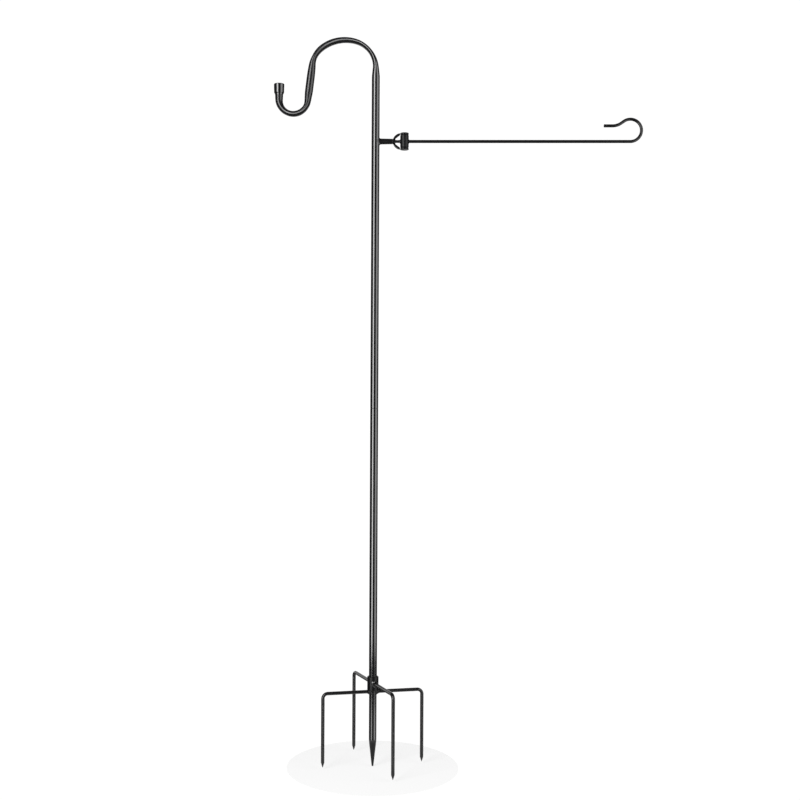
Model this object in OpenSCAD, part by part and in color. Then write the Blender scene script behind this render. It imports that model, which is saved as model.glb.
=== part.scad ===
// Garden stand with a shepherd's hook for a hanging plant and a side arm for a
// small flag, pushed into the soil on a stake and four prongs.
// Millimetres. The origin is on the stake's axis at soil level, +Z is up,
// the hook reaches towards -X and the flag arm towards +X.

/* [Pole] */
// Outside diameter of the pole tube
pole_d = 12.7; // [11:0.1:16]
// Wall of the pole tube
pole_wall = 0.8; // [0.6:0.05:1.2]
// Length of the lower pole
lower_len = 439; // [250:1:700]
// Length of the upper pole
upper_len = 445.5; // [250:0.5:700]

/* [Stake and collar] */
// Diameter of the round stake
stake_d = 12; // [9:0.1:14]
// Depth of the stake's tip below the soil
stake_depth = 110.8; // [90:0.1:220]
// Length of the stake's point
stake_point = 41; // [15:1:60]
// Step in to the stake's head, which the collar and the welds grip
head_step = 0.2; // [0.2:0.05:0.6]
// Diameter of the stake's blunt tip
stake_tip_d = 2.8; // [1:0.1:6]
// Wall of the collar that holds the pole
collar_wall = 2.5; // [2:0.1:5]
// Length of the collar
collar_len = 21.3; // [20:0.1:40]
// Chamfer round the collar's mouth
collar_chamfer = 1.1; // [0.2:0.1:1.6]
// Depth of the collar's tight lower end, which grips the stake
collar_grip = 3.3; // [2:0.1:6]

/* [Prongs] */
// Diameter of the prong rod
prong_d = 5.5; // [4:0.1:8]
// Distance from the stake's axis to a prong's leg
prong_reach = 79.5; // [45:0.5:120]
// Centre-line radius of a prong's bend
prong_bend_r = 7.5; // [5:0.1:15]
// Depth of the prong tips below the soil
prong_depth = 108; // [60:1:200]
// Length of a prong's point
prong_point = 9; // [4:0.5:15]
// Gap between the soil and the lower pair of arms
prong_clear = 4.2; // [3:0.1:15]
// Height of the upper pair of arms above the lower pair
prong_step = 13.4; // [9:0.1:18]
// Turn of the left and right prongs from the line of the hook
prong_turn = 13; // [-45:0.5:45]
// Angle at which the two pairs cross
prong_cross = 79; // [60:1:120]
// Leg length of the weld fillets at the prongs
weld_leg = 2.4; // [1:0.1:3]
// Length along the rod of the weld fillets at the side prongs
weld_run = 4.6; // [2:0.1:6]

/* [Screw joints of the pole] */
// Thread diameter of the studs
stud_d = 8; // [5:0.1:9]
// Thread pitch of the studs
stud_pitch = 1.25; // [0.8:0.05:1.5]
// Length of stud that enters a bush
stud_out = 15; // [8:0.5:17]
// Length of stud that is fixed in the stake
stud_in = 12; // [6:0.5:25]
// Length of a threaded bush in the pole
bush_len = 18; // [12:0.5:40]
// Length of the plug that carries the stud in the upper pole
plug_len = 14; // [8:0.5:40]

/* [Hook] */
// Straight rise of the hook tube below its first bend
hook_rise = 88.2; // [40:0.1:250]
// Radius of the bend over the pole
shoulder_r = 44; // [35:0.5:70]
// Angle of the bend over the pole
shoulder_a = 73.5; // [60:0.5:80]
// Radius of the crown
crown_r = 60; // [45:0.5:90]
// Angle of the crown
crown_a = 53; // [40:0.5:60]
// Radius of the bend down into the leg
heel_r = 39.5; // [30:0.5:60]
// Angle of the bend down into the leg
heel_a = 46.5; // [35:0.5:55]
// Length of the straight leg above the cup
leg_len = 57.7; // [45:0.1:120]
// Radius of the cup that carries the plant
cup_r = 22.6; // [18:0.1:40]
// Straight tip beyond the cup
tip_len = 21.8; // [16:0.1:60]
// Thickness of the squeezed tube in the bend over the pole
shoulder_flat = 6.9; // [5:0.1:12]
// Thickness of the squeezed tube in the crown
crown_flat = 9.3; // [5:0.1:12]
// Thickness of the squeezed tube in the bend down
heel_flat = 8.3; // [5:0.1:12]
// Thickness of the squeezed tube in the cup
cup_flat = 8.8; // [5:0.1:12]
// Depth of the spigot in the upper pole
spigot_down = 25; // [12:1:80]
// Depth of the spigot in the hook tube
spigot_up = 18; // [8:1:35]
// Diameter of the end cap at its mouth
cap_mouth_d = 14.6; // [14:0.1:20]
// Diameter of the end cap at its top
cap_top_d = 16.1; // [15:0.1:24]
// Length of the end cap
cap_len = 17.2; // [14:0.1:30]
// Thickness of the end cap's top
cap_top = 2.4; // [1:0.1:4]

/* [Flag arm] */
// Height of the flag arm above the soil
arm_height = 871.4; // [700:0.1:880]
// Diameter of the arm rod
rod_d = 4.9; // [4:0.1:8]
// Thread diameter of the rod's end
rod_thread_d = 5; // [4.5:0.1:8]
// Thread pitch of the rod's end
rod_pitch = 0.8; // [0.6:0.05:1]
// Distance from the pole's axis to the start of the curl
rod_run = 398.1; // [200:0.1:500]
// Radius of the curl
curl_r = 17.4; // [12:0.1:30]
// Angle of the curl
curl_a = 215; // [200:1:220]
// Straight piece after the curl
curl_straight = 5; // [4:0.5:15]
// Radius of the bend into the curl's end
lip_r = 24; // [8:0.5:30]
// Straight end of the curl
lip_len = 13; // [5:0.5:25]
// Length of the threaded socket on the pole, from the pole's side
socket_len = 20.15; // [12:0.05:40]
// Diameter of the socket at the pole
socket_root_d = 9.6; // [8.6:0.1:11]
// Diameter of the socket's free end
socket_end_d = 8.4; // [7.6:0.1:10]
// Length of rod inside the socket
rod_entry = 12; // [6:0.5:18]
// Leg length of the weld fillet at the socket
socket_weld = 2; // [0.5:0.1:2]

/* [Wing nut and stopper] */
// Diameter of the wing nut's hub
nut_hub_d = 8.8; // [8:0.1:12]
// Length of the wing nut's hub
nut_hub_len = 4.8; // [3:0.1:7]
// Outside radius of the wings' sweep
wing_r = 13; // [10:0.1:18]
// Angle between the rod and the inner edge of a wing
wing_angle = 38; // [30:1:45]
// Thickness of a wing
wing_t = 2.6; // [1.5:0.1:4]
// Length of the wing nut along the rod
nut_len = 11.9; // [8:0.1:12]
// Diameter of the rubber stopper
stop_d = 13.4; // [10:0.1:20]
// Length of the rubber stopper, across the rod
stop_len = 26.4; // [20:0.1:50]
// Height of the rim at each end of the stopper
stop_rim = 2.2; // [1:0.1:5]
// Depth of the groove behind each rim
stop_groove = 0.7; // [0.3:0.1:1.2]

/* [Fits] */
// Radial clearance of the fits that turn or slide
run_fit = 0.05; // [0.02:0.01:0.1]
// Gap between faces that seat on each other
seat_fit = 0.05; // [0.02:0.01:0.1]
// Gap between a piece and its neighbour that isn't a fit
side_gap = 0.3; // [0.2:0.05:1]

/* [Hidden] */

$fn = 64;
far = 200;
coat = [0.07, 0.07, 0.075];
rubber = [0.13, 0.13, 0.13];
zinc = [0.7, 0.7, 0.72];

pole_r = pole_d / 2;
bore_r = pole_r - pole_wall;
press_r = bore_r - 0.02;
stake_r = stake_d / 2;
head_r = stake_r - head_step;
collar_bore = pole_r + run_fit;
collar_r = max(collar_bore, stake_r) + collar_wall;
prong_r = prong_d / 2;
rod_r = rod_d / 2;

low_z = prong_clear + prong_r;
high_z = low_z + prong_step;
collar_z = low_z + prong_r + seat_fit;
stake_top = collar_z + collar_grip;
head_z = low_z - prong_r - weld_leg - side_gap;
lower_z = stake_top + seat_fit;
joint_z = lower_z + lower_len;
upper_z = joint_z + seat_fit;
upper_top = upper_z + upper_len;
hook_z = upper_top + seat_fit;

socket_end = pole_r + socket_len;
rod_start = socket_end - rod_entry;
nut_x = socket_end + seat_fit;
nut_end = nut_x + nut_len;
stop_x = nut_end + side_gap + stop_d / 2;

// Ring grooves that stand for a thread: outline points up one side
function thread_side(r, pitch, from, to) =
  let (turns = floor((to - from) / pitch))
  let (root = r - 0.6 * pitch)
  [
    for (i = [0:turns - 1])
    let (z = from + i * pitch)
    each [[r, z + 0.2 * pitch], [r, z + 0.45 * pitch], [root, z + 0.7 * pitch], [root, z + pitch - 0.05]]
  ];

module thread(r, pitch, from, to) {
  root = r - 0.6 * pitch;
  rotate_extrude()
    polygon(concat([[0, from], [root, from]], thread_side(r, pitch, from, to), [[root, to], [0, to]]));
}

module along_x() {
  rotate([0, 90, 0])
    children();
}

module tube(outer, inner, from, to) {
  translate([0, 0, from])
    difference() {
      cylinder(r = outer, h = to - from);
      translate([0, 0, -1])
        cylinder(r = inner, h = to - from + 2);
    }
}

// ---- Base ----

module ground_stake() {
  tip_r = stake_tip_d / 2;
  color(coat)
    difference() {
      rotate_extrude()
        polygon([
          [0, stake_top], [head_r, stake_top], [head_r, head_z],
          [stake_r, head_z], [stake_r, stake_point - stake_depth],
          [tip_r, tip_r - stake_depth], [tip_r * 0.6, tip_r * 0.2 - stake_depth], [0, -stake_depth]
        ]);
      translate([0, 0, stake_top - stud_in])
        cylinder(d = stud_d + 2 * run_fit, h = stud_in + 1);
    }
}

module base_collar() {
  top = collar_z + collar_len;
  color(coat)
    rotate_extrude()
      polygon([
        [head_r, collar_z], [collar_r, collar_z], [collar_r, top - collar_chamfer],
        [collar_r - collar_chamfer, top], [collar_bore, top], [collar_bore, stake_top], [head_r, stake_top]
      ]);
}

module base_stud() {
  color(zinc)
    thread(stud_d / 2, stud_pitch, stake_top - stud_in, stake_top + stud_out);
}

// A prong: an arm out from the axis, a bend, and a leg down to its point
module prong_rod(z) {
  translate([0, 0, z])
    along_x()
      cylinder(r = prong_r, h = prong_reach - prong_bend_r);
  translate([prong_reach - prong_bend_r, 0, z - prong_bend_r])
    rotate([90, 0, 0])
      rotate_extrude(angle = 90)
        translate([prong_bend_r, 0])
          circle(r = prong_r);
  leg_top = z - prong_bend_r;
  translate([prong_reach, 0, 0])
    rotate_extrude()
      polygon([
        [0, leg_top], [prong_r, leg_top], [prong_r, prong_point - prong_depth],
        [0.3, -prong_depth], [0, -prong_depth]
      ]);
}

module low_prong(angle) {
  color(coat)
    difference() {
      rotate(angle)
        prong_rod(low_z);
      translate([0, 0, -far / 2])
        cylinder(r = head_r, h = far);
    }
}

module high_prong(angle) {
  color(coat)
    difference() {
      rotate(angle)
        prong_rod(high_z);
      translate([0, 0, collar_z])
        cylinder(r = collar_r, h = far);
    }
}

module prong_left() {
  low_prong(prong_turn + 180);
}

module prong_right() {
  low_prong(prong_turn);
}

module prong_front() {
  high_prong(prong_turn - prong_cross);
}

module prong_rear() {
  high_prong(prong_turn - prong_cross + 180);
}

// A bead of weld along +X round a rod of radius rod, where it meets a round face of radius face
module weld_cone(rod, face, leg, run) {
  translate([face / 2, 0, 0])
    along_x() {
      cylinder(r = rod + leg, h = face / 2);
      translate([0, 0, face / 2])
        cylinder(r1 = rod + leg, r2 = rod + 0.4, h = run);
    }
}

module side_rods() {
  rotate(prong_turn)
    translate([-far, 0, low_z])
      along_x()
        cylinder(r = prong_r, h = 2 * far);
}

// On the right the weld climbs on to the collar.
module weld_climb() {
  difference() {
    rotate(prong_turn)
      translate([0, 0, low_z + weld_leg])
        weld_cone(0.4, head_r, 2 * weld_leg, 1.4 * weld_run);
    translate([0, 0, -far / 2])
      cylinder(r = head_r, h = far);
    translate([0, 0, collar_z])
      cylinder(r = collar_r, h = far);
    side_rods();
  }
}

module stake_weld() {
  color(coat) {
    difference() {
      union() {
        for (side = [0, 180])
          rotate(prong_turn + side)
            translate([0, 0, low_z])
              weld_cone(prong_r, head_r, weld_leg, weld_run);
        translate([0, 0, collar_z - weld_leg])
          cylinder(r1 = head_r + 0.6, r2 = head_r + weld_leg, h = weld_leg);
      }
      translate([0, 0, -far / 2])
        cylinder(r = head_r, h = far);
      translate([0, 0, collar_z])
        cylinder(r = far, h = far);
      side_rods();
    }
    weld_climb();
  }
}

module collar_weld() {
  color(coat)
    for (side = [0, 180])
      rotate(prong_turn - prong_cross + side)
        difference() {
          translate([0, 0, high_z])
            weld_cone(prong_r, collar_r, weld_leg, weld_leg);
          translate([0, 0, collar_z])
            cylinder(r = collar_r, h = 2 * (high_z - collar_z));
          translate([0, 0, high_z])
            along_x()
              cylinder(r = prong_r, h = 2 * collar_r);
        }
}

// ---- Pole ----

module lower_pole() {
  color(coat)
    tube(pole_r, bore_r, lower_z, joint_z);
}

module pole_bush(from) {
  color(zinc)
    tube(press_r, stud_d / 2 + run_fit, from, from + bush_len);
}

module pole_foot_bush() {
  pole_bush(lower_z);
}

module pole_top_bush() {
  pole_bush(joint_z - bush_len);
}

module upper_pole() {
  color(coat)
    tube(pole_r, bore_r, upper_z, upper_top);
}

module joint_stud() {
  color(zinc) {
    translate([0, 0, upper_z])
      cylinder(r = press_r, h = plug_len);
    thread(stud_d / 2, stud_pitch, upper_z - stud_out, upper_z);
  }
}

module arm_socket() {
  color(coat)
    difference() {
      translate([0, 0, arm_height])
        along_x()
          cylinder(d1 = socket_root_d, d2 = socket_end_d, h = socket_end);
      translate([rod_start - 1, 0, arm_height])
        along_x()
          cylinder(d = rod_thread_d + 2 * run_fit, h = far);
      cylinder(r = pole_r, h = arm_height + far);
    }
}

module arm_socket_weld() {
  color(coat)
    difference() {
      translate([0, 0, arm_height])
        weld_cone(socket_root_d / 2, pole_r, socket_weld, socket_weld);
      translate([0, 0, arm_height])
        along_x()
          cylinder(d1 = socket_root_d, d2 = socket_end_d, h = socket_end);
      cylinder(r = pole_r, h = arm_height + far);
    }
}

// ---- Hook ----

// The hook's bends in order, as [length on the centre line, turn in degrees]
function bend(r, a) = [PI * r * abs(a) / 180, a];
hook_plan = [
  [hook_rise, 0],
  bend(shoulder_r, shoulder_a),
  bend(crown_r, crown_a),
  bend(heel_r, heel_a),
  [leg_len, 0],
  bend(cup_r, -(shoulder_a + crown_a + heel_a)),
  [tip_len, 0]
];

// Centre-line point and heading after a run of length s from point p, heading h
function advance(p, h, s, turn) =
  turn == 0 ? [p.x + s * cos(h), p.y + s * sin(h), h]
  : let (r = s * 180 / (PI * turn))
    [p.x + r * (sin(h + turn) - sin(h)), p.y - r * (cos(h + turn) - cos(h)), h + turn];

// The same at distance s along a plan
function along(plan, s, i = 0, at = [0, 0, 90]) =
  s <= plan[i][0] || i == len(plan) - 1
  ? advance(at, at[2], s, plan[i][1] * s / plan[i][0])
  : along(plan, s - plan[i][0], i + 1, advance(at, at[2], plan[i][0], plan[i][1]));

// Distance along a plan to the start of its run number i
function start_of(plan, i) = i == 0 ? 0 : plan[i - 1][0] + start_of(plan, i - 1);

// A point at share f of run number i
function part_of(i, f) = start_of(hook_plan, i) + f * hook_plan[i][0];

// In-plane thickness of the tube, which is squeezed in the bends
hook_flats = [
  [part_of(1, 0) - 12, pole_d],
  [part_of(1, 0.08), (pole_d + shoulder_flat) / 2 - 0.7],
  [part_of(1, 0.5), shoulder_flat],
  [part_of(1, 0.8), shoulder_flat],
  [part_of(2, 0.15), (shoulder_flat + crown_flat) / 2],
  [part_of(2, 0.65), crown_flat],
  [part_of(3, 0.05), crown_flat],
  [part_of(3, 0.6), heel_flat],
  [part_of(4, 0.08), pole_d - 1],
  [part_of(4, 0.3), pole_d],
  [part_of(4, 0.75), pole_d],
  [part_of(5, 0.14), cup_flat],
  [part_of(5, 0.62), cup_flat],
  [part_of(5, 0.8), (pole_d + cup_flat) / 2 - 0.8],
  [part_of(6, 0), pole_d - 0.5],
  [part_of(6, 0.35), pole_d]
];

ring_sides = 16;
ring_step = 4.6;

function hook_stations() =
  let (first = hook_rise - 12, last = part_of(6, 1))
  let (count = ceil((last - first) / ring_step))
  concat([0], [for (i = [0:count]) first + (last - first) * i / count]);

// One ring round the centre line at distance s, drawn in by inset and grown by grow
function hook_ring(s, inset, grow) =
  let (at = along(hook_plan, s), half = lookup(s, hook_flats) / 2)
  let (wide = sqrt(2 * pole_r * pole_r - half * half))
  [
    for (k = [0:ring_sides - 1])
    let (t = 360 * k / ring_sides)
    let (u = (half - inset) * grow * cos(t), v = (wide - inset) * grow * sin(t))
    [at.x - u * sin(at[2]), v, at.y + u * cos(at[2])]
  ];

module hook_tube() {
  stations = hook_stations();
  rings = len(stations);
  n = ring_sides;
  outer = [for (s = stations) each hook_ring(s, 0, 1)];
  inner = [for (s = stations) each hook_ring(s, pole_wall, 1 / cos(180 / n))];
  skip = rings * n;
  last = (rings - 1) * n;
  walls = [
    for (i = [0:rings - 2], k = [0:n - 1])
    let (a = i * n + k, b = i * n + (k + 1) % n)
    each [
      [a, a + n, b], [b, a + n, b + n],
      [skip + a, skip + b, skip + a + n], [skip + b, skip + b + n, skip + a + n]
    ]
  ];
  ends = [
    for (k = [0:n - 1])
    let (a = k, b = (k + 1) % n)
    each [
      [a, b, skip + a], [b, skip + b, skip + a],
      [last + a, skip + last + a, last + b], [last + b, skip + last + a, skip + last + b]
    ]
  ];
  color(coat)
    translate([0, 0, hook_z])
      polyhedron(points = concat(outer, inner), faces = concat(walls, ends));
}

module hook_spigot() {
  color(zinc)
    translate([0, 0, hook_z - spigot_down])
      cylinder(r = bore_r - run_fit, h = spigot_down + spigot_up);
}

module hook_end_cap() {
  tip = along(hook_plan, part_of(6, 1));
  top = hook_z + tip.y + side_gap + cap_top;
  color(rubber)
    translate([tip.x, 0, top])
      difference() {
        rotate_extrude()
          polygon([
            [0, 0], [cap_top_d / 2 - 1, 0], [cap_top_d / 2, -1],
            [cap_top_d / 2 - 0.2, -cap_len * 0.55], [cap_mouth_d / 2, -cap_len * 0.8],
            [cap_mouth_d / 2 - 0.3, -cap_len], [0, -cap_len]
          ]);
        translate([0, 0, -cap_len - 1])
          cylinder(r = pole_r + run_fit, h = cap_len + 1 - cap_top);
      }
}

// ---- Flag arm ----

// The bends are a hair thicker than the straights, which reach a little way into them
bend_swell = 0.02;
bend_lap = 0.3;

module rod_straight(from, to) {
  translate([from, 0, 0])
    along_x()
      cylinder(r = rod_r, h = to - from);
}

module rod_bend(r, a) {
  side = sign(a);
  translate([0, 0, side * r])
    rotate([90, 0, 0])
      rotate([0, 0, side > 0 ? -90 : 90 + a])
        rotate_extrude(angle = abs(a))
          translate([r, 0])
            circle(r = rod_r + bend_swell);
}

// Moves its children to the end of a bend
module after_bend(r, a) {
  translate([r * sin(abs(a)), 0, sign(a) * r * (1 - cos(a))])
    rotate([0, -a, 0])
      children();
}

module flag_arm() {
  lip_a = curl_a - 180;
  plain_x = nut_end - 0.3;
  color(coat)
    translate([0, 0, arm_height]) {
      along_x()
        thread(rod_thread_d / 2, rod_pitch, rod_start, plain_x);
      rod_straight(plain_x, rod_run + bend_lap);
      translate([rod_run, 0, 0]) {
        rod_bend(curl_r, curl_a);
        after_bend(curl_r, curl_a) {
          rod_straight(-bend_lap, curl_straight + bend_lap);
          translate([curl_straight, 0, 0]) {
            rod_bend(lip_r, -lip_a);
            after_bend(lip_r, -lip_a)
              rod_straight(-bend_lap, lip_len);
          }
        }
      }
    }
}

module wing_nut() {
  color(coat)
    translate([nut_x, 0, arm_height])
      difference() {
        union() {
          along_x()
            cylinder(d1 = nut_hub_d, d2 = nut_hub_d - 1, h = nut_hub_len);
          translate([0, wing_t / 2, 0])
            rotate([90, 0, 0])
              linear_extrude(wing_t)
                difference() {
                  intersection() {
                    translate([wing_r + 0.4, 0])
                      circle(r = wing_r);
                    translate([0, -far / 2])
                      square([nut_len, far]);
                  }
                  polygon([
                    [-0.6, 0],
                    [far, -(far + 0.6) * tan(wing_angle)],
                    [far, (far + 0.6) * tan(wing_angle)]
                  ]);
                }
        }
        translate([-1, 0, 0])
          along_x()
            cylinder(d = rod_thread_d + 2 * run_fit, h = nut_len + 2);
      }
}

module flag_stopper() {
  body_r = stop_d / 2;
  neck_r = body_r - stop_groove;
  half = stop_len / 2;
  color(rubber)
    translate([stop_x, 0, arm_height])
      difference() {
        rotate_extrude()
          polygon([
            [0, -half], [body_r - 0.6, -half], [body_r, 0.6 - half],
            [body_r, stop_rim - half], [neck_r, stop_rim - half + 0.4],
            [neck_r, stop_rim - half + 1.2], [body_r, stop_rim - half + 1.6],
            [body_r, half - stop_rim - 1.6], [neck_r, half - stop_rim - 1.2],
            [neck_r, half - stop_rim - 0.4], [body_r, half - stop_rim],
            [body_r, half - 0.6], [body_r - 0.6, half], [0, half]
          ]);
        translate([-stop_d, 0, 0])
          along_x()
            cylinder(r = rod_r + run_fit, h = 2 * stop_d);
      }
}

ground_stake();
base_collar();
base_stud();
prong_left();
prong_right();
prong_front();
prong_rear();
stake_weld();
collar_weld();
lower_pole();
pole_foot_bush();
pole_top_bush();
upper_pole();
joint_stud();
arm_socket();
arm_socket_weld();
hook_tube();
hook_spigot();
hook_end_cap();
flag_arm();
wing_nut();
flag_stopper();
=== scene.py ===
"""A black garden stand with a hook for a hanging plant and a side arm for a small flag.

The frame is the model's own, in metres: the origin is on the stake's axis at soil level, +Z is
up, the hook reaches towards -X and the flag arm towards +X. Sizes of pieces are in millimetres.
"""

import math

import bpy
import numpy as np
from mathutils import Matrix, Vector


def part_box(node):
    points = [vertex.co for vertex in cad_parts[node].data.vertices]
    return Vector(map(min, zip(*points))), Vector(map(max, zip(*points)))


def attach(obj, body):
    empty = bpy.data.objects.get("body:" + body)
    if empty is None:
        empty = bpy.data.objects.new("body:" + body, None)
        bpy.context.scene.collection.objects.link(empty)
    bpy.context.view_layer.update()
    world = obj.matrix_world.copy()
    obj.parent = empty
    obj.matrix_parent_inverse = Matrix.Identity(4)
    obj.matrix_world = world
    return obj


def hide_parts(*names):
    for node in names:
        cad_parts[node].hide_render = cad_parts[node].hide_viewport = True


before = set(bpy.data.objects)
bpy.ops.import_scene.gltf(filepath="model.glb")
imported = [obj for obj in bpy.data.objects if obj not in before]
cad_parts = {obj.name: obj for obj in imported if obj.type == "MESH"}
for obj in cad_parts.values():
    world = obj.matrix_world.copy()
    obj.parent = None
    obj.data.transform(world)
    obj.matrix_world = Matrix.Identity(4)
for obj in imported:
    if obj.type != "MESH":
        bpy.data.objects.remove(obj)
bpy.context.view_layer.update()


# ---- Camera ----
# The view is nearly level, 1.8 m in front of the pole, and takes in the whole stand. Its place
# was fitted to the ends of the pole, the arm and the prongs.

CAMERA_AT = Vector((0.038, -1.804, 0.474))
CAMERA_YAW = math.radians(-1.26)
CAMERA_PITCH = math.radians(-0.27)
CAMERA_ROLL = math.radians(0.28)
FOCAL_PX = 1148
CENTRE_SHIFT_PX = 26.8
PHOTO_PX = 800
SENSOR_MM = 36

camera_data = bpy.data.cameras.new("camera")
camera_data.sensor_width = SENSOR_MM
camera_data.lens = FOCAL_PX * SENSOR_MM / PHOTO_PX
camera_data.shift_x = CENTRE_SHIFT_PX / PHOTO_PX
camera_data.clip_start = 0.05
camera_data.clip_end = 50
camera = bpy.data.objects.new("camera", camera_data)
bpy.context.scene.collection.objects.link(camera)
bpy.context.scene.camera = camera

forward = Vector((
    math.sin(CAMERA_YAW) * math.cos(CAMERA_PITCH),
    math.cos(CAMERA_YAW) * math.cos(CAMERA_PITCH),
    math.sin(CAMERA_PITCH),
))
level_right = Vector((math.cos(CAMERA_YAW), -math.sin(CAMERA_YAW), 0))
level_up = level_right.cross(forward)
right = math.cos(CAMERA_ROLL) * level_right + math.sin(CAMERA_ROLL) * level_up
up = right.cross(forward)
turn = Matrix((right, up, -forward)).transposed().to_4x4()
camera.matrix_world = Matrix.Translation(CAMERA_AT) @ turn


# ---- Ground stake ----
# A round bar of mild steel with a long ground point, its shoulder softened and its tip blunt.
# A narrower head on top goes into the collar. Like the rest of the stand it is powder coated:
# dry black resin is sprayed on and baked to a hard skin.

MM = 0.001
X = 0
Z = 2


def reach(node, axis):
    """Where a node of the model begins and ends along an axis, in millimetres."""
    return [round(corner[axis] / MM, 3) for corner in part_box(node)]


def linear(hex_colour):
    """An sRGB hex colour as linear RGBA."""
    parts = [int(hex_colour[i:i + 2], 16) / 255 for i in (1, 3, 5)]
    return [c / 12.92 if c <= 0.04045 else ((c + 0.055) / 1.055) ** 2.4 for c in parts] + [1.0]


def set_inputs(tree, node, inputs):
    """Set a node's sockets, and link those whose value is another node's output."""
    for socket, value in inputs.items():
        if isinstance(value, bpy.types.NodeSocket):
            tree.links.new(value, node.inputs[socket])
        else:
            node.inputs[socket].default_value = value


def add_node(tree, kind, inputs, **settings):
    """Add a node with its settings, the values of its sockets and its links."""
    node = tree.nodes.new(kind)
    for setting, value in settings.items():
        setattr(node, setting, value)
    set_inputs(tree, node, inputs)
    return node


def skin(name, tones, roughness, specular, cloud_mm, grain_mm, depth_mm, metallic=0.0, change=None):
    """A skin with soft clouds and a fine grain, both from noise on Object coordinates.

    Clouds cloud_mm across blend the two tones and take the roughness a tenth up and down. The
    grain is bumps grain_mm across and depth_mm deep. Where change is given, as (axis, place,
    place, roughness, specular), the skin goes over from its own roughness and specular level at
    the first place to these at the second.
    """
    material = bpy.data.materials.new(name)
    material.use_nodes = True
    tree = material.node_tree
    shader = tree.nodes["Principled BSDF"]
    set_inputs(tree, shader, {"Metallic": metallic, "Specular IOR Level": specular})
    place = add_node(tree, "ShaderNodeTexCoord", {}).outputs["Object"]

    clouds = add_node(tree, "ShaderNodeTexNoise", {
        "Vector": place, "Scale": 1 / (cloud_mm * MM), "Detail": 3.0,
    }).outputs["Fac"]
    tone = add_node(tree, "ShaderNodeMix", {
        "Factor": clouds, "A": linear(tones[0]), "B": linear(tones[1]),
    }, data_type="RGBA")
    swing = add_node(tree, "ShaderNodeMapRange", {
        "Value": clouds, "From Min": 0.35, "From Max": 0.65, "To Min": 0.9, "To Max": 1.1,
    })

    if change:
        axis, own_at_mm, other_at_mm, other_roughness, other_specular = change
        along = add_node(tree, "ShaderNodeSeparateXYZ", {0: place}).outputs[axis]
        roughness, specular = (
            add_node(tree, "ShaderNodeMapRange", {
                "Value": along, "From Min": other_at_mm * MM, "From Max": own_at_mm * MM,
                "To Min": other, "To Max": own,
            }).outputs["Result"]
            for own, other in ((roughness, other_roughness), (specular, other_specular))
        )
        set_inputs(tree, shader, {"Specular IOR Level": specular})
    clouded = add_node(tree, "ShaderNodeMath", {0: roughness, 1: swing.outputs["Result"]},
                       operation="MULTIPLY")

    grain = add_node(tree, "ShaderNodeTexNoise", {
        "Vector": place, "Scale": 1 / (grain_mm * MM), "Detail": 2.0,
    })
    bump = add_node(tree, "ShaderNodeBump", {
        "Height": grain.outputs["Fac"], "Strength": 1.0, "Distance": depth_mm * MM,
    })
    set_inputs(tree, shader, {
        "Base Color": tone.outputs["Result"],
        "Roughness": clouded.outputs["Value"],
        "Normal": bump.outputs["Normal"],
    })
    return material


# The coat is glossy where the steel under it is smooth and straight.
GLOSS_ROUGHNESS = 0.12
GLOSS_SPECULAR = 0.85
COAT_TONES = ("#040405", "#060607")
COAT_CLOUD_MM = 14
PEEL_DEPTH_MM = 0.001


def powder_coat(name, roughness=GLOSS_ROUGHNESS, specular=GLOSS_SPECULAR, peel_mm=2.6, change=None):
    """Black powder coat, sprayed dry and baked: a hard, nearly black skin with a faint orange peel."""
    return skin(name, COAT_TONES, roughness, specular, COAT_CLOUD_MM, peel_mm, PEEL_DEPTH_MM,
                change=change)


# A straight longer than LONG has a row this close to each end, so that its shading stays straight.
LONG = 2
CLOSE = 0.3


def rounded(corners, steps=5, closed=False):
    """A polyline through corners (r, z, radius), with each corner made an arc of its radius.

    An arc runs between the points where its circle touches the two sides, and its points lie
    evenly by angle. A closed line goes on to its first corner.
    """
    if closed:
        corners = corners + corners[:1]
    share = np.linspace(0, 1, steps + 1)[:, None]
    runs = []
    for n, (r, z, radius) in enumerate(corners):
        here = np.array([r, z], float)
        if radius <= 0 or n in (0, len(corners) - 1):
            runs.append(here[None])
            continue
        back = np.array(corners[n - 1][:2], float) - here
        on = np.array(corners[n + 1][:2], float) - here
        back_len = np.linalg.norm(back)
        on_len = np.linalg.norm(on)
        back = back / back_len
        on = on / on_len
        half = math.acos(np.clip(back @ on, -1, 1)) / 2
        trim = min(radius / math.tan(half), 0.49 * back_len, 0.49 * on_len)
        true_r = trim * math.tan(half)
        centre = here + (back + on) / np.linalg.norm(back + on) * true_r / math.sin(half)
        a = here + back * trim - centre
        b = here + on * trim - centre
        angle = math.acos(np.clip(a @ b / (np.linalg.norm(a) * np.linalg.norm(b)), -1, 1))
        arc_points = np.sin((1 - share) * angle) * a + np.sin(share * angle) * b
        runs.append(centre + arc_points / math.sin(angle))
    points = np.vstack(runs)
    step = np.diff(points, axis=0)
    length = np.linalg.norm(step, axis=1)
    long = np.flatnonzero(length > LONG)
    inset = step[long] * (CLOSE / length[long])[:, None]
    rows = np.stack([points[long] + inset, points[long + 1] - inset], 1).reshape(-1, 2)
    points = np.insert(points, np.repeat(long + 1, 2), rows, axis=0)
    return points[:-1] if closed else points


def lathe(profile, sides=64):
    """Rings about +Z: each row (r, z) of a profile is turned to a circle of r at the height z."""
    angle = np.linspace(0, 2 * math.pi, sides, endpoint=False)
    r = profile[:, :1]
    z = profile[:, 1:]
    return np.stack([r * np.cos(angle), r * np.sin(angle), z + 0 * angle], -1)


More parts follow.
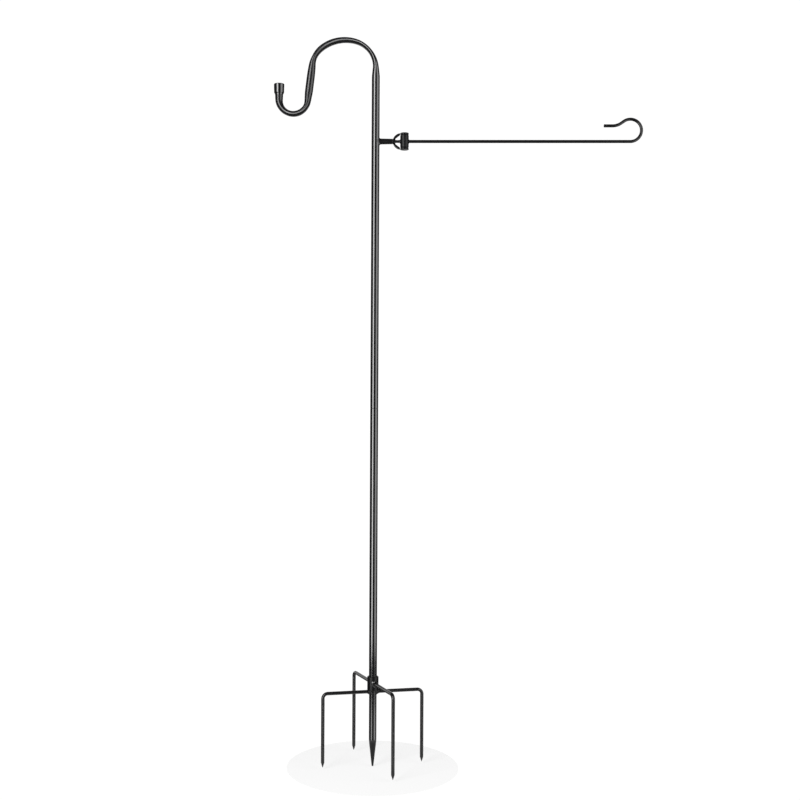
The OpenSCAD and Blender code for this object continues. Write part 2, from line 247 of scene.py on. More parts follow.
def surface(name, rings, material, body, nodes=(), ends="closed", sharp=35):
    """A piece from an array of rings, each a closed loop of points in millimetres.

    Quads join point k of one ring to point k of the next. A fan to its middle closes each end,
    or the last ring is joined to the first (ends "joined"), or the ends are left open, where
    they lie inside other pieces ("open"). The sign of the volume inside says which way the
    faces point, and they are turned to point outwards.
    """
    rings = np.asarray(rings, float) * MM
    count, sides, _ = rings.shape
    points = rings.reshape(-1, 3)
    k = np.arange(sides)
    after = (k + 1) % sides
    here = np.arange(count if ends == "joined" else count - 1)[:, None] * sides
    there = (here + sides) % len(points)
    quads = np.stack([here + k, here + after, there + after, there + k], -1).reshape(-1, 4)
    faces = quads.tolist()
    if ends == "closed":
        last = len(points) - sides
        faces += np.stack([after, k, 0 * k + len(points)], -1).tolist()
        faces += np.stack([last + k, last + after, 0 * k + len(points) + 1], -1).tolist()
        points = np.vstack([points, rings[0].mean(0), rings[-1].mean(0)])
    a, b, c, d = (points[quads[:, n]] - points.mean(0) for n in range(4))
    volume = (a * np.cross(b, c)).sum() + (a * np.cross(c, d)).sum()
    if volume < 0:
        faces = [face[::-1] for face in faces]
    mesh = bpy.data.meshes.new(name)
    mesh.from_pydata(points.tolist(), [], faces)
    mesh.polygons.foreach_set("use_smooth", np.ones(len(mesh.polygons), bool))
    mesh.set_sharp_from_angle(angle=math.radians(sharp))
    mesh.materials.append(material)
    piece = bpy.data.objects.new(name, mesh)
    bpy.context.scene.collection.objects.link(piece)
    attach(piece, body)
    if nodes:
        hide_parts(*nodes)
    return piece


STAKE_TIP_Z, STAKE_TOP = reach("ground_stake", Z)
STAKE_R = reach("ground_stake", X)[1]
STAKE_POINT = 41.0
STAKE_TIP_R = 1.2
HEAD_R = STAKE_R - 0.2
HEAD_Z = 1.5
# A profile that ends on the axis ends this far from it, so that its end has a ring.
ON_AXIS = 0.01

# The ground point is duller than the straight bar.
POINT = powder_coat("point_powder_coat", change=("Z", -66, -74, 0.25, 0.3))

stake_profile = rounded([
    (ON_AXIS, STAKE_TIP_Z, 0), (STAKE_TIP_R, STAKE_TIP_Z + 0.2, 0.8),
    (STAKE_TIP_R + 0.4, STAKE_TIP_Z + 2, 3), (STAKE_R, STAKE_TIP_Z + STAKE_POINT, 30),
    (STAKE_R, HEAD_Z, 0.1), (HEAD_R, HEAD_Z + 0.1, 0.1),
    (HEAD_R, STAKE_TOP, 0.3), (ON_AXIS, STAKE_TOP, 0),
], steps=8)
surface("ground_stake_bar", lathe(stake_profile), POINT, "base", ["ground_stake"])


# ---- Collar ----
# A thick steel sleeve round the stake's head, which the foot of the pole sits in. It has a
# softened mouth, and its coat has gone dull from the heat of the welds.

COLLAR_LOW, COLLAR_TOP = reach("base_collar", Z)
COLLAR_R = reach("base_collar", X)[1]
POLE_R = reach("lower_pole", X)[1]
MOUTH_R = POLE_R + 0.05

DULL = powder_coat("dull_powder_coat", 0.38, 0.2)

collar_profile = rounded([
    (HEAD_R, STAKE_TOP, 0), (HEAD_R, COLLAR_LOW, 0.05), (COLLAR_R, COLLAR_LOW, 0.5),
    (COLLAR_R, COLLAR_TOP, 1.3), (MOUTH_R, COLLAR_TOP, 0.4), (MOUTH_R, STAKE_TOP, 0),
], closed=True)
surface("base_collar_sleeve", lathe(collar_profile), DULL, "base",
        ["base_collar"], ends="joined")


# ---- Prongs ----
# Four round rods, each bent once and ground to a point. The lower pair butts on the stake and
# the upper pair on the collar, and the two pairs cross at 79 degrees.

PRONG_R = 2.75
PRONG_REACH = 79.5
PRONG_BEND = 7.5
PRONG_POINT = 9.0
PRONG_TIP_Z = reach("prong_left", Z)[0]
LOW_Z = reach("prong_left", Z)[1] - PRONG_R
HIGH_Z = reach("prong_front", Z)[1] - PRONG_R
LOW_ROOT = HEAD_R - 0.1
HIGH_ROOT = COLLAR_R - 0.3
PRONG_TURN = 13.0
PRONG_CROSS = 79.0

# Rods and small parts are coated as they are drawn or cast, so they are less glossy.
SATIN = powder_coat("satin_powder_coat", 0.27, 0.45, peel_mm=2.2)


def turned(rings, degrees):
    """Rings turned about +Z."""
    c = math.cos(math.radians(degrees))
    s = math.sin(math.radians(degrees))
    x, y, z = rings[..., 0], rings[..., 1], rings[..., 2]
    return np.stack([c * x - s * y, s * x + c * y, z], -1)


def arc(radius, degrees):
    """One row of a plan: a bend of a radius."""
    return math.pi * radius * abs(degrees) / 180, degrees


def follow(plan, start, heading, step_straight, step_bend):
    """Rows (distance, x, z, heading in degrees) along a plan of (length, turn in degrees).

    A straight runs on along its heading. On a bend the heading grows evenly, and the point
    goes round a circle whose radius is the length divided by the turn.
    """
    rows = []
    x, z = start
    done = 0.0
    for length, turn_deg in plan:
        pieces = max(1, math.ceil(length / (step_bend if turn_deg else step_straight)))
        share = np.arange(1 if rows else 0, pieces + 1) / pieces
        now = np.radians(heading + turn_deg * share)
        first = math.radians(heading)
        if turn_deg:
            r = length / math.radians(turn_deg)
            dx = r * (np.sin(now) - math.sin(first))
            dz = -r * (np.cos(now) - math.cos(first))
        else:
            dx = length * share * math.cos(first)
            dz = length * share * math.sin(first)
        rows.append(np.stack([done + length * share, x + dx, z + dz, np.degrees(now)], 1))
        x, z = rows[-1][-1, 1:3]
        heading += turn_deg
        done += length
    return np.vstack(rows)


def sweep(path, across, wide, sides):
    """Rings square to a path in the XZ plane: ellipses with the half size across in that plane
    and the half size wide out of it."""
    angle = np.linspace(0, 2 * math.pi, sides, endpoint=False)
    heading = np.radians(path[:, 3:])
    u = np.asarray(across)[:, None] * np.cos(angle)
    v = np.asarray(wide)[:, None] * np.sin(angle)
    return np.stack([path[:, 1:2] - u * np.sin(heading), v, path[:, 2:3] + u * np.cos(heading)], -1)


def prong(node, z, root, degrees):
    """One prong, from its root on a round face to its point, turned to its side.

    The radius is full down to the point, and falls there a little faster than along a cone. In
    its bend the rod is a touch oval.
    """
    arm = PRONG_REACH - PRONG_BEND - root
    bend = arc(PRONG_BEND, -90)
    leg = z - PRONG_BEND - PRONG_TIP_Z - PRONG_POINT
    shaft = follow([(arm, 0), bend, (leg, 0)], (root, z), 0, 4, 0.7)
    down = PRONG_POINT * np.linspace(0, 1, 14)[1:]
    point = np.stack([
        shaft[-1, 0] + down, 0 * down + PRONG_REACH, PRONG_TIP_Z + PRONG_POINT - down, 0 * down - 90,
    ], 1)
    path = np.vstack([shaft, point])
    share = np.clip((path[-1, 0] - path[:, 0]) / PRONG_POINT, 0, 1)
    radius = PRONG_R * np.minimum(1, 1.06 * share ** 0.93 + 0.09)
    bend_middle = arm + bend[0] / 2
    oval = 0.06 * np.exp(-((path[:, 0] - bend_middle) / 5) ** 2)
    rings = sweep(path, radius * (1 - oval), radius * (1 + oval), 32)
    return surface(node + "_rod", turned(rings, degrees), SATIN, "base", [node])


prong("prong_right", LOW_Z, LOW_ROOT, PRONG_TURN)
prong("prong_left", LOW_Z, LOW_ROOT, PRONG_TURN + 180)
prong_front = prong("prong_front", HIGH_Z, HIGH_ROOT, PRONG_TURN - PRONG_CROSS)
prong_rear = prong("prong_rear", HIGH_Z, HIGH_ROOT, PRONG_TURN - PRONG_CROSS + 180)


# ---- Welds of the base ----
# Beads laid by hand, which fix the prongs to the stake and the collar. They are fillets with
# overlapping ripples that swell and thin a little as they go, coated with the rest.

WELD_LEG = 2.4
WELD_RUN = 4.6
# How far a bead's toes lie under the faces it joins, and how far it goes on into the round one.
TOE_DEPTH = 0.25
BURIED = 0.8
# A bead is this much fuller, halfway, than a hollow fillet.
FULLER = 0.25
BEAD_SIDES = 160
BEAD_ROWS = 12

# The front bead has kept its gloss and catches the light.
COAT = powder_coat("gloss_powder_coat")


def ripple(angle, lumps=()):
    """How full a bead is at each angle: 1, with fourteen uneven ripples and a slow swell.

    lumps are (angle, width, extra size) rows in degrees, each a bell curve on top.
    """
    size = 1 + 0.09 * np.sin(14 * angle + 0.6 * np.sin(3 * angle)) + 0.05 * np.sin(3 * angle + 1)
    for at, width, extra in lumps:
        off = (np.degrees(angle) - at + 180) % 360 - 180
        size = size + extra * np.exp(-(off / width) ** 2)
    return size


def bead(name, body, nodes, rod_r, face_r, leg, run, height, degrees, lumps=(), coat=DULL):
    """A rippled fillet round a rod that runs out along +X from a round face about +Z.

    Its rows go by an angle phi, from the toe on the face, leg away from the rod, to the toe on
    the rod, run away from the face: the distance from the rod falls as 1 - sin(phi) and that
    from the face grows as 1 - cos(phi). One row more goes straight into the face. Both edges
    are open and lie inside the metal.
    """
    angle = np.linspace(0, 2 * math.pi, BEAD_SIDES, endpoint=False)
    size = leg * ripple(angle, lumps) + TOE_DEPTH
    phi = np.linspace(0, math.pi / 2, BEAD_ROWS)[:, None]
    bulge = 1 + FULLER * np.sin(2 * phi)
    r = rod_r - TOE_DEPTH + size * (1 - np.sin(phi)) * bulge
    out = size * run / leg * (1 - np.cos(phi)) * bulge
    r = np.vstack([r[:1], r])
    out = np.vstack([out[:1] - BURIED, out])
    y = r * np.cos(angle)
    face = np.sqrt(np.maximum(face_r ** 2 - y ** 2, (0.2 * face_r) ** 2))
    rings = np.stack([face - TOE_DEPTH + out, y, height + r * np.sin(angle)], -1)
    return surface(name, turned(rings, degrees), coat, body, nodes,
                   ends="open", sharp=80)


bead("collar_weld_front", "base", ["collar_weld"], PRONG_R, COLLAR_R, WELD_LEG, WELD_LEG, HIGH_Z,
     PRONG_TURN - PRONG_CROSS, lumps=[(145, 20, 0.45), (250, 30, 0.3)], coat=COAT)
bead("collar_weld_rear", "base", [], PRONG_R, COLLAR_R, WELD_LEG, WELD_LEG, HIGH_Z,
     PRONG_TURN - PRONG_CROSS + 180, lumps=[(60, 30, 0.25)])
bead("stake_weld_right", "base", ["stake_weld"], PRONG_R, HEAD_R, WELD_LEG, WELD_RUN, LOW_Z,
     PRONG_TURN, lumps=[(270, 40, 0.25)])
bead("stake_weld_left", "base", [], PRONG_R, HEAD_R, WELD_LEG, WELD_RUN, LOW_Z,
     PRONG_TURN + 180, lumps=[(240, 30, 0.2)])
# On the right the weld climbs on to the collar: a bead twice as high, round a thin core.
bead("stake_weld_climb", "base", [], 0.5, HEAD_R, 2 * WELD_LEG, 1.4 * WELD_RUN, LOW_Z + WELD_LEG,
     PRONG_TURN, lumps=[(90, 40, 0.1)])

# The bead under the collar runs all the way round the stake, with the same rows by phi. Its
# edges lie inside the collar and the stake's head.
RING_DEPTH = 0.2
angle = np.linspace(0, 2 * math.pi, BEAD_SIDES, endpoint=False)
size = WELD_LEG * ripple(angle) + RING_DEPTH
phi = np.linspace(-0.15, math.pi / 2 + 0.1, BEAD_ROWS)[:, None]
bulge = 1 + FULLER * np.sin(2 * phi)
r = HEAD_R - RING_DEPTH + size * (1 - np.sin(phi)) * bulge
z = COLLAR_LOW + RING_DEPTH - size * (1 - np.cos(phi)) * bulge
ring_rows = np.stack([r * np.cos(angle), r * np.sin(angle), z], -1)
surface("stake_weld_ring", ring_rows, DULL, "base", ends="open", sharp=80)


# ---- Lower pole ----
# A straight tube of welded steel, half an inch across, with its ends cut square. It is screwed
# on the stake's stud, and has a softened edge where the next tube meets it.

POLE_WALL = 0.8


def tube(low, high, low_edge, high_edge):
    """Rings of a tube of the pole, whose outer edges are rounded by low_edge and high_edge."""
    inner = POLE_R - POLE_WALL
    return lathe(rounded([
        (inner, low, 0), (POLE_R, low, low_edge), (POLE_R, high, high_edge), (inner, high, 0.1),
    ], closed=True))


surface("lower_pole_tube", tube(*reach("lower_pole", Z), 0.3, 0.35), COAT,
        "lower_pole_body", ["lower_pole"], ends="joined")


# ---- Upper pole ----
# The same tube once more, screwed on the lower one. The foot of the hook is seated on its top,
# where the joint is a fine line.

surface("upper_pole_tube", tube(*reach("upper_pole", Z), 0.35, 0.12), COAT,
        "upper_pole_body", ["upper_pole"], ends="joined")


# ---- Hook ----
# One tube from the slip joint over the crown and down to the cup. It is bent without a core,
# so it is squeezed flat in its bends and wider there, and it turns in the pole.

HOOK_Z = reach("hook_tube", Z)[0]
HOOK_RISE = 88.2
SHOULDER_R = 44
SHOULDER_A = 73.5
CROWN_R = 60
CROWN_A = 53
HEEL_R = 39.5
HEEL_A = 46.5
LEG_LEN = 57.7
CUP_R = 22.6
CUP_A = 173
TIP_LEN = 21.8
POLE_D = 2 * POLE_R
SHOULDER_FLAT = 6.9
CROWN_FLAT = 9.3
HEEL_FLAT = 8.3
CUP_FLAT = 8.8

# The coat is less glossy on the stretched steel of the bends.
BENT = powder_coat("bent_powder_coat", change=("X", -4, -26, 0.25, 0.5))

hook_plan = [
    (HOOK_RISE, 0), arc(SHOULDER_R, SHOULDER_A), arc(CROWN_R, CROWN_A), arc(HEEL_R, HEEL_A),
    (LEG_LEN, 0), arc(CUP_R, -CUP_A), (TIP_LEN, 0),
]
hook_ends = np.concatenate([[0], np.cumsum([row[0] for row in hook_plan])])


def part_of(run, share):
    """Distance along the hook to a share of one of its runs."""
    return hook_ends[run] + share * hook_plan[run][0]


# Thickness of the tube in the plane of the hook, by distance along it.
hook_flats = np.array([
    (part_of(1, 0) - 12, POLE_D), (part_of(1, 0.08), (POLE_D + SHOULDER_FLAT) / 2 - 0.7),
    (part_of(1, 0.5), SHOULDER_FLAT), (part_of(1, 0.8), SHOULDER_FLAT),
    (part_of(2, 0.15), (SHOULDER_FLAT + CROWN_FLAT) / 2), (part_of(2, 0.65), CROWN_FLAT),
    (part_of(3, 0.05), CROWN_FLAT), (part_of(3, 0.6), HEEL_FLAT),
    (part_of(4, 0.08), POLE_D - 1), (part_of(4, 0.3), POLE_D), (part_of(4, 0.75), POLE_D),
    (part_of(5, 0.14), CUP_FLAT), (part_of(5, 0.62), CUP_FLAT),
    (part_of(5, 0.8), (POLE_D + CUP_FLAT) / 2 - 0.8), (part_of(6, 0), POLE_D - 0.5),
    (part_of(6, 0.35), POLE_D),
])


# Over how much of the tube's length a change of its thickness is eased.
FLATS_BLUR = 3


def eased(s, rows, blur):
    """Values of a table at distances s, as the weighted mean of five places up to blur away."""
    weights = (0.1, 0.2, 0.4, 0.2, 0.1)
    offsets = (-blur, -blur / 2, 0, blur / 2, blur)
    return sum(w * np.interp(s + o, rows[:, 0], rows[:, 1]) for w, o in zip(weights, offsets))


hook_path = follow(hook_plan, (0, HOOK_Z), 90, 2.5, 1.2)
across = eased(hook_path[:, 0], hook_flats, FLATS_BLUR) / 2
# A squeezed tube gets wider as it gets thinner.
wide = np.sqrt(2 * POLE_R ** 2 - across ** 2)
hook_piece = surface("hook_tube_bent", sweep(hook_path, across, wide, 56), BENT,
                     "hook", ["hook_tube"])


# ---- End cap ----
# A cap of soft vinyl, dipped or moulded, pushed over the hook's cut end. It is a little wider
# at its top and drawn in at its mouth, and its skin is the glossiest of the stand.

CAP_LEN = 17.2
CAP_WALL = 2.4
CAP_GAP = 0.3
CAP_TOP_R = 8.3
CAP_SIDE_R = 7.9
CAP_MOUTH_R = 6.5
CAP_BORE_R = 6.4
cap_x = hook_path[-1, 1]
cap_top = hook_path[-1, 2] + CAP_GAP + CAP_WALL
cap_low = cap_top - CAP_LEN

VINYL = skin("black_vinyl", COAT_TONES, 0.1, 0.85, cloud_mm=9, grain_mm=4, depth_mm=0.002)

cap_profile = rounded([
    (ON_AXIS, cap_top, 0), (CAP_TOP_R, cap_top, 1.0), (8.1, cap_top - CAP_LEN * 0.55, 8),
    (CAP_SIDE_R, cap_top - CAP_LEN * 0.82, 1.5), (CAP_MOUTH_R + 0.05, cap_top - CAP_LEN * 0.94, 0.6),
    (CAP_MOUTH_R, cap_low, 0.05), (CAP_BORE_R, cap_low, 0),
    (CAP_BORE_R, cap_top - CAP_WALL, 0), (ON_AXIS, cap_top - CAP_WALL, 0),
], steps=7)
surface("hook_end_cap_shell", lathe(cap_profile) + np.array([cap_x, 0, 0]), VINYL,
        "hook", ["hook_end_cap"])


# ---- Arm socket ----
# A short turned stub, tapered outside and threaded inside, which the flag arm is screwed into.
# It is welded to the upper pole with one bead all round.

ARM_Z = sum(reach("arm_socket", Z)) / 2
SOCKET_END = reach("arm_socket", X)[1]
SOCKET_ROOT_R = 4.7
SOCKET_END_R = 4.2
SOCKET_BORE_R = 2.55
SOCKET_BORE_X = 13.5
SOCKET_WELD = 1.7


def along_x(rings):
    """Rings about +Z laid down about +X, at the height of the arm."""
    return np.stack([rings[..., 2], rings[..., 1], ARM_Z - rings[..., 0]], -1)


socket_profile = rounded([
    (SOCKET_BORE_R, SOCKET_BORE_X, 0), (SOCKET_ROOT_R, 5.0, 0), (SOCKET_END_R, SOCKET_END, 0.45),
    (SOCKET_BORE_R, SOCKET_END, 0.3),
], closed=True)
surface("arm_socket_stub", along_x(lathe(socket_profile, 48)), SATIN,
        "upper_pole_body", ["arm_socket"], ends="joined")
bead("arm_socket_bead", "upper_pole_body", ["arm_socket_weld"], SOCKET_ROOT_R, POLE_R,
     SOCKET_WELD, SOCKET_WELD, ARM_Z, 0, lumps=[(270, 45, 0.35), (120, 30, 0.2)], coat=SATIN)


# ---- Flag arm ----
# A thin drawn rod, threaded at the pole's end and bent to an open curl at the other, so that a
# flag's sleeve can be fed on and stays on. Its cut end is rounded over.

ROD_R = 2.45
ROD_SIDES = 40
ROD_START = reach("flag_arm", X)[0]
ROD_RUN = 398.1
THREAD_R = 2.5
THREAD_DEPTH = 0.45
THREAD_PITCH = 0.8
THREAD_END = 38.1
THREAD_FADE = 1.2
CURL_R = 17.4
CURL_STRAIGHT = 5
LIP_R = 24
LIP_A = 35
LIP_LEN = 13
END_ROUND = 0.5

# The thread is a helix: its groove goes round once while x goes on by a pitch, and it fades at
# both ends. The groove is cut where phase is near one half.
x = np.arange(ROD_START, THREAD_END, THREAD_PITCH / 10)[:, None]
angle = np.linspace(0, 2 * math.pi, ROD_SIDES, endpoint=False)
phase = (x / THREAD_PITCH + angle / (2 * math.pi) - 0.25) % 1
cut = np.clip(1.6 * (1 - np.abs(2 * phase - 1)) - 0.2, 0, 1)
fade = np.clip(np.minimum(x - ROD_START, THREAD_END - x) / THREAD_FADE, 0, 1)
r = THREAD_R - THREAD_DEPTH * cut * fade - (1 - fade) * (THREAD_R - ROD_R)
thread_rings = np.stack([x + 0 * angle, r * np.sin(angle), ARM_Z + r * np.cos(angle)], -1)

arm_plan = [
    (ROD_RUN - THREAD_END, 0), arc(CURL_R, 180 + LIP_A), (CURL_STRAIGHT, 0), arc(LIP_R, -LIP_A),
    (LIP_LEN, 0),
]
arm_path = follow(arm_plan, (THREAD_END, ARM_Z), 0, 6, 1.0)
rod_radius = np.full(len(arm_path), ROD_R)
rod_rings = sweep(arm_path, rod_radius, rod_radius, ROD_SIDES)

# The end's edge is a quarter circle: it goes on by its sine as the radius falls by its cosine.
quarter = np.linspace(0, math.pi / 2, 6)[1:]
end_path = np.repeat(arm_path[-1:], len(quarter), axis=0)
end_heading = np.radians(end_path[:, 3])
end_path[:, 1] += np.cos(end_heading) * END_ROUND * np.sin(quarter)
end_path[:, 2] += np.sin(end_heading) * END_ROUND * np.sin(quarter)
end_radius = ROD_R - END_ROUND * (1 - np.cos(quarter))
end_rings = sweep(end_path, end_radius, end_radius, ROD_SIDES)
surface("flag_arm_rod", np.concatenate([thread_rings, rod_rings, end_rings]), SATIN,
        "arm", ["flag_arm"], sharp=50)


# ---- Wing nut ----
# A small cast nut that locks the arm in its socket: a threaded hub with two wings swept
# forward, round outside and straight inside, with softened edges and square tips.

NUT_X, NUT_END = reach("wing_nut", X)
NUT_LEN = NUT_END - NUT_X
HUB_LEN = 4.8
HUB_R = 4.4
HUB_TIP_R = 3.9
WING_R = 13
WING_SLOPE = math.tan(math.radians(38))
WING_T = 2.6
WING_FROM = 0.9
WING_TIP = 0.8
# Where the wing's outer circle and the straight line of its inside cross the rod's axis, from
# the nut's face.
OUTER_CROSSES = 0.4
INNER_CROSSES = -0.6
WING_SQUARE = 3.5

hub_profile = rounded([
    (SOCKET_BORE_R, NUT_X, 0), (HUB_R, NUT_X, 0.4), (HUB_TIP_R, NUT_X + HUB_LEN, 0.5),
    (SOCKET_BORE_R, NUT_X + HUB_LEN, 0.2),
], closed=True)
surface("wing_nut_hub", along_x(lathe(hub_profile, 48)), SATIN, "nut",
        ["wing_nut"], ends="joined")


def wing(name, side):
    """One wing: rounded rectangles, square to the rod, from inside the hub to the tip.

    They reach from a straight line, which rises from the rod, out to a circle that starts at
    the hub. Each is a superellipse, |u|^3.5 + |v|^3.5 = 1, and the last few are smaller.
    """
    along = np.concatenate([np.linspace(WING_FROM, 3, 12), np.linspace(3.3, NUT_LEN, 22)])[:, None]
    outer = np.sqrt(WING_R ** 2 - (along - WING_R - OUTER_CROSSES) ** 2)
    inner = (along - INNER_CROSSES) * WING_SLOPE
    shrink = 1 - 0.25 * np.maximum(0, 1 - (NUT_LEN - along) / WING_TIP) ** 2
    angle = np.linspace(0, 2 * math.pi, 28, endpoint=False)
    u = np.sign(np.cos(angle)) * np.abs(np.cos(angle)) ** (2 / WING_SQUARE)
    v = np.sign(np.sin(angle)) * np.abs(np.sin(angle)) ** (2 / WING_SQUARE)
    height = (outer + inner) / 2 + (outer - inner) / 2 * shrink * u
    rings = np.stack([NUT_X + along + 0 * u, WING_T / 2 * shrink * v, ARM_Z + side * height], -1)
    return surface(name, rings, SATIN, "nut", sharp=50)


wing("wing_nut_wing_upper", 1)
wing("wing_nut_wing_lower", -1)


# ---- Stopper ----
# A barrel of moulded black rubber across the arm, which keeps the flag's sleeve away from the
# nut. It has a rim at each end and a boss on both sides, where the rod goes through. The mould's
# fine grain makes it duller than the coat.

stop_low, stop_high = reach("flag_stopper", Z)
stop_near, stop_far = reach("flag_stopper", X)
STOP_X = (stop_near + stop_far) / 2
STOP_R = (stop_far - stop_near) / 2
STOP_HALF = (stop_high - stop_low) / 2
STOP_RIM = 2.2
STOP_GROOVE = 0.7
BOSS_BORE_R = 2.35
BOSS_R = 3.5
BOSS_OUT = STOP_R + 0.5

RUBBER = skin("black_rubber", ("#050506", "#080809"), 0.4, 0.2, cloud_mm=5, grain_mm=0.5,
              depth_mm=0.02)

groove_r = STOP_R - STOP_GROOVE
rim = [
    (STOP_R, STOP_HALF, 0.7), (STOP_R, STOP_HALF - STOP_RIM, 0.4),
    (groove_r, STOP_HALF - STOP_RIM - 0.6, 0.3), (groove_r, STOP_HALF - STOP_RIM - 1.1, 0.3),
    (STOP_R, STOP_HALF - STOP_RIM - 1.8, 0.6),
]
lower_rim = [(r, -z, radius) for r, z, radius in rim]
stopper_profile = rounded(
    [(ON_AXIS, -STOP_HALF, 0)] + lower_rim + rim[::-1] + [(ON_AXIS, STOP_HALF, 0)]
)
surface("flag_stopper_barrel", lathe(stopper_profile) + np.array([STOP_X, 0, ARM_Z]), RUBBER,
        "stopper", ["flag_stopper"])
boss_profile = rounded([
    (BOSS_BORE_R, -BOSS_OUT, 0), (BOSS_R, -BOSS_OUT, 0.4), (BOSS_R + 0.2, -5.0, 0),
    (BOSS_R + 0.2, 5.0, 0), (BOSS_R, BOSS_OUT, 0.4), (BOSS_BORE_R, BOSS_OUT, 0),
], closed=True) + np.array([0, STOP_X])
surface("flag_stopper_boss", along_x(lathe(boss_profile, 40)), RUBBER,
        "stopper", ends="joined")


# ---- Hidden steel ----
# The studs, bushes and spigot inside the pole keep the model's solids. They are machine parts
# of zinc-plated steel, which is bright with a faint grain and small clouds of passivation.

ZINC = skin("zinc_plated_steel", ("#b9bbbf", "#cdcdcc"), 0.32, 0.5, cloud_mm=3, grain_mm=0.8,
            depth_mm=0.006, metallic=1.0)

for name in ("base_stud", "pole_foot_bush", "pole_top_bush", "joint_stud", "hook_spigot"):
    for material_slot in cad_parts[name].material_slots:
        material_slot.material = ZINC


# ---- Floor and backdrop ----
# A pale round table under the points, and a white backdrop. Both are matt, and glow for the
# camera and in mirrors and glass, so that they are white without more light on the stand.

TABLE_R = 0.135
BELOW_TIP = 0.0002
FLOOR_GLOW = 0.76
FLOOR_SHARE = 0.24
# The backdrop is far off and narrow, so that the coat's edges stay dark, and tall, so that the
# level runs of the prongs show it along their tops.
BACKDROP_Y = 20
BACKDROP_X = 10
BACKDROP_LOW = -8
BACKDROP_HIGH = 26
BACKDROP_GLOW = 1.0
BACKDROP_SHARE = 0.3


def stage_material(name, hex_colour, glow, share):
    """Matt paint of a share of a colour, plus a glow for camera, mirror and glass rays alone."""
    material = bpy.data.materials.new(name)
    material.use_nodes = True
    tree = material.node_tree
    tree.nodes.clear()
    path = add_node(tree, "ShaderNodeLightPath", {})
    seen = path.outputs["Is Camera Ray"]
    for ray in ("Is Glossy Ray", "Is Transmission Ray"):
        seen = add_node(tree, "ShaderNodeMath", {0: seen, 1: path.outputs[ray]},
                        operation="MAXIMUM").outputs["Value"]
    strength = add_node(tree, "ShaderNodeMath", {0: seen, 1: glow}, operation="MULTIPLY")
    emission = add_node(tree, "ShaderNodeEmission", {"Strength": strength.outputs["Value"]})
    paint = [c * share for c in linear(hex_colour)[:3]] + [1.0]
    diffuse = add_node(tree, "ShaderNodeBsdfDiffuse", {"Color": paint})
    both = add_node(tree, "ShaderNodeAddShader", {0: diffuse.outputs[0], 1: emission.outputs[0]})
    add_node(tree, "ShaderNodeOutputMaterial", {"Surface": both.outputs[0]})
    return material


def flat_piece(name, corners, material):
    """A stage piece of one face, from its corners in metres."""
    mesh = bpy.data.meshes.new(name)
    mesh.from_pydata([tuple(corner) for corner in corners], [], [list(range(len(corners)))])
    mesh.materials.append(material)
    piece = bpy.data.objects.new(name, mesh)
    bpy.context.scene.collection.objects.link(piece)


angle = np.linspace(0, 2 * math.pi, 96, endpoint=False)
floor_z = STAKE_TIP_Z * MM - BELOW_TIP
table = np.stack([TABLE_R * np.cos(angle), TABLE_R * np.sin(angle), 0 * angle + floor_z], 1)
flat_piece("floor", table.tolist(), stage_material("pale_floor", "#ffffff", FLOOR_GLOW, FLOOR_SHARE))
backdrop = [
    (-BACKDROP_X, BACKDROP_Y, BACKDROP_LOW), (BACKDROP_X, BACKDROP_Y, BACKDROP_LOW),
    (BACKDROP_X, BACKDROP_Y, BACKDROP_HIGH), (-BACKDROP_X, BACKDROP_Y, BACKDROP_HIGH),
]
flat_piece("backdrop", backdrop,
           stage_material("white_backdrop", "#ffffff", BACKDROP_GLOW, BACKDROP_SHARE))


# ---- Light ----
# Tall soft boxes on the left and the right draw the two light lines down the pole. Each has a
# dimmer box below it, and the dark room between them gives the black bands.

BOX_DISTANCE = 1.5
LEFT_AT = -36
RIGHT_AT = 60
TALL_Z = 0.72
TALL = 2.0
LOW_BOX_Z = -0.57
LOW = 0.3
LEFT_WIDTH = 0.8
RIGHT_WIDTH = 1.35
ROOM_LIGHT = 0.12


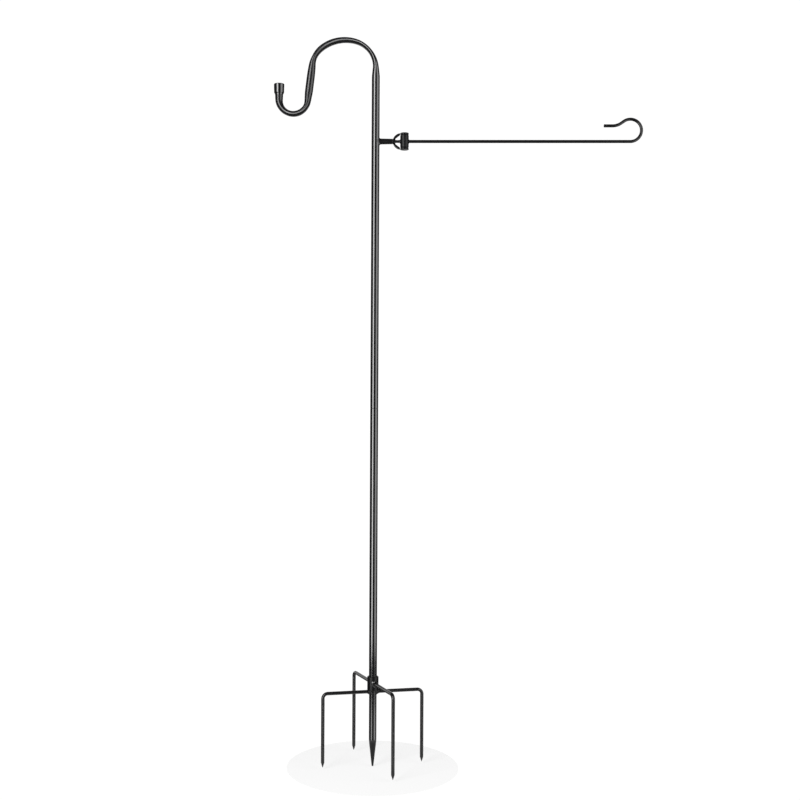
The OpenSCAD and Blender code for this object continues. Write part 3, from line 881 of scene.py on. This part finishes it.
def soft_box(name, at, aim, width, height, power):
    """A rectangular area light at a place, aimed at a point; sizes in metres, power in watts."""
    light = bpy.data.lights.new(name, "AREA")
    light.shape = "RECTANGLE"
    light.size = width
    light.size_y = height
    light.energy = power
    lamp = bpy.data.objects.new(name, light)
    lamp.location = at
    lamp.rotation_mode = "QUATERNION"
    lamp.rotation_quaternion = (Vector(aim) - Vector(at)).to_track_quat("-Z", "Y")
    bpy.context.scene.collection.objects.link(lamp)
    return lamp


def side_box(name, degrees, z, width, height, power):
    """A soft box at an angle to the right of the camera's side, level with what it lights."""
    a = math.radians(degrees)
    at = (BOX_DISTANCE * math.sin(a), -BOX_DISTANCE * math.cos(a), z)
    return soft_box(name, at, (0, 0, z), width, height, power)


def light_only(lamp, pieces):
    """Let a lamp light some pieces alone."""
    lit = bpy.data.collections.new("lit_by_" + lamp.name)
    for piece in pieces:
        lit.objects.link(piece)
    lamp.light_linking.receiver_collection = lit


side_box("soft_box_left", LEFT_AT, TALL_Z, LEFT_WIDTH, TALL, 43)
side_box("soft_box_left_low", LEFT_AT, LOW_BOX_Z, LEFT_WIDTH, LOW, 2.9)
side_box("soft_box_right", RIGHT_AT, TALL_Z, RIGHT_WIDTH, TALL, 25)
side_box("soft_box_right_low", RIGHT_AT, LOW_BOX_Z, RIGHT_WIDTH, LOW, 3.5)
# A wide box low in front lights the hook alone, and gives its bends their light band.
crown_box = soft_box("soft_box_crown", (-0.05, -1.15, 0.3), (-0.07, 0, 0.98), 1.5, 1.0, 38)
light_only(crown_box, [hook_piece])
# A box behind on the left gives the level runs of the front and rear prongs their light tops.
rear_box = soft_box("soft_box_rear", (-1.0, 0.9, 0.25), (0, 0, 0), 0.8, 0.8, 3)
light_only(rear_box, [prong_front, prong_rear])

world = bpy.data.worlds.new("studio")
bpy.context.scene.world = world
world.use_nodes = True
set_inputs(world.node_tree, world.node_tree.nodes["Background"], {
    "Color": linear("#ffffff"), "Strength": ROOM_LIGHT,
})

bpy.context.scene.view_settings.view_transform = "Standard"


# ---- Last update of the scene ----

bpy.context.view_layer.update()
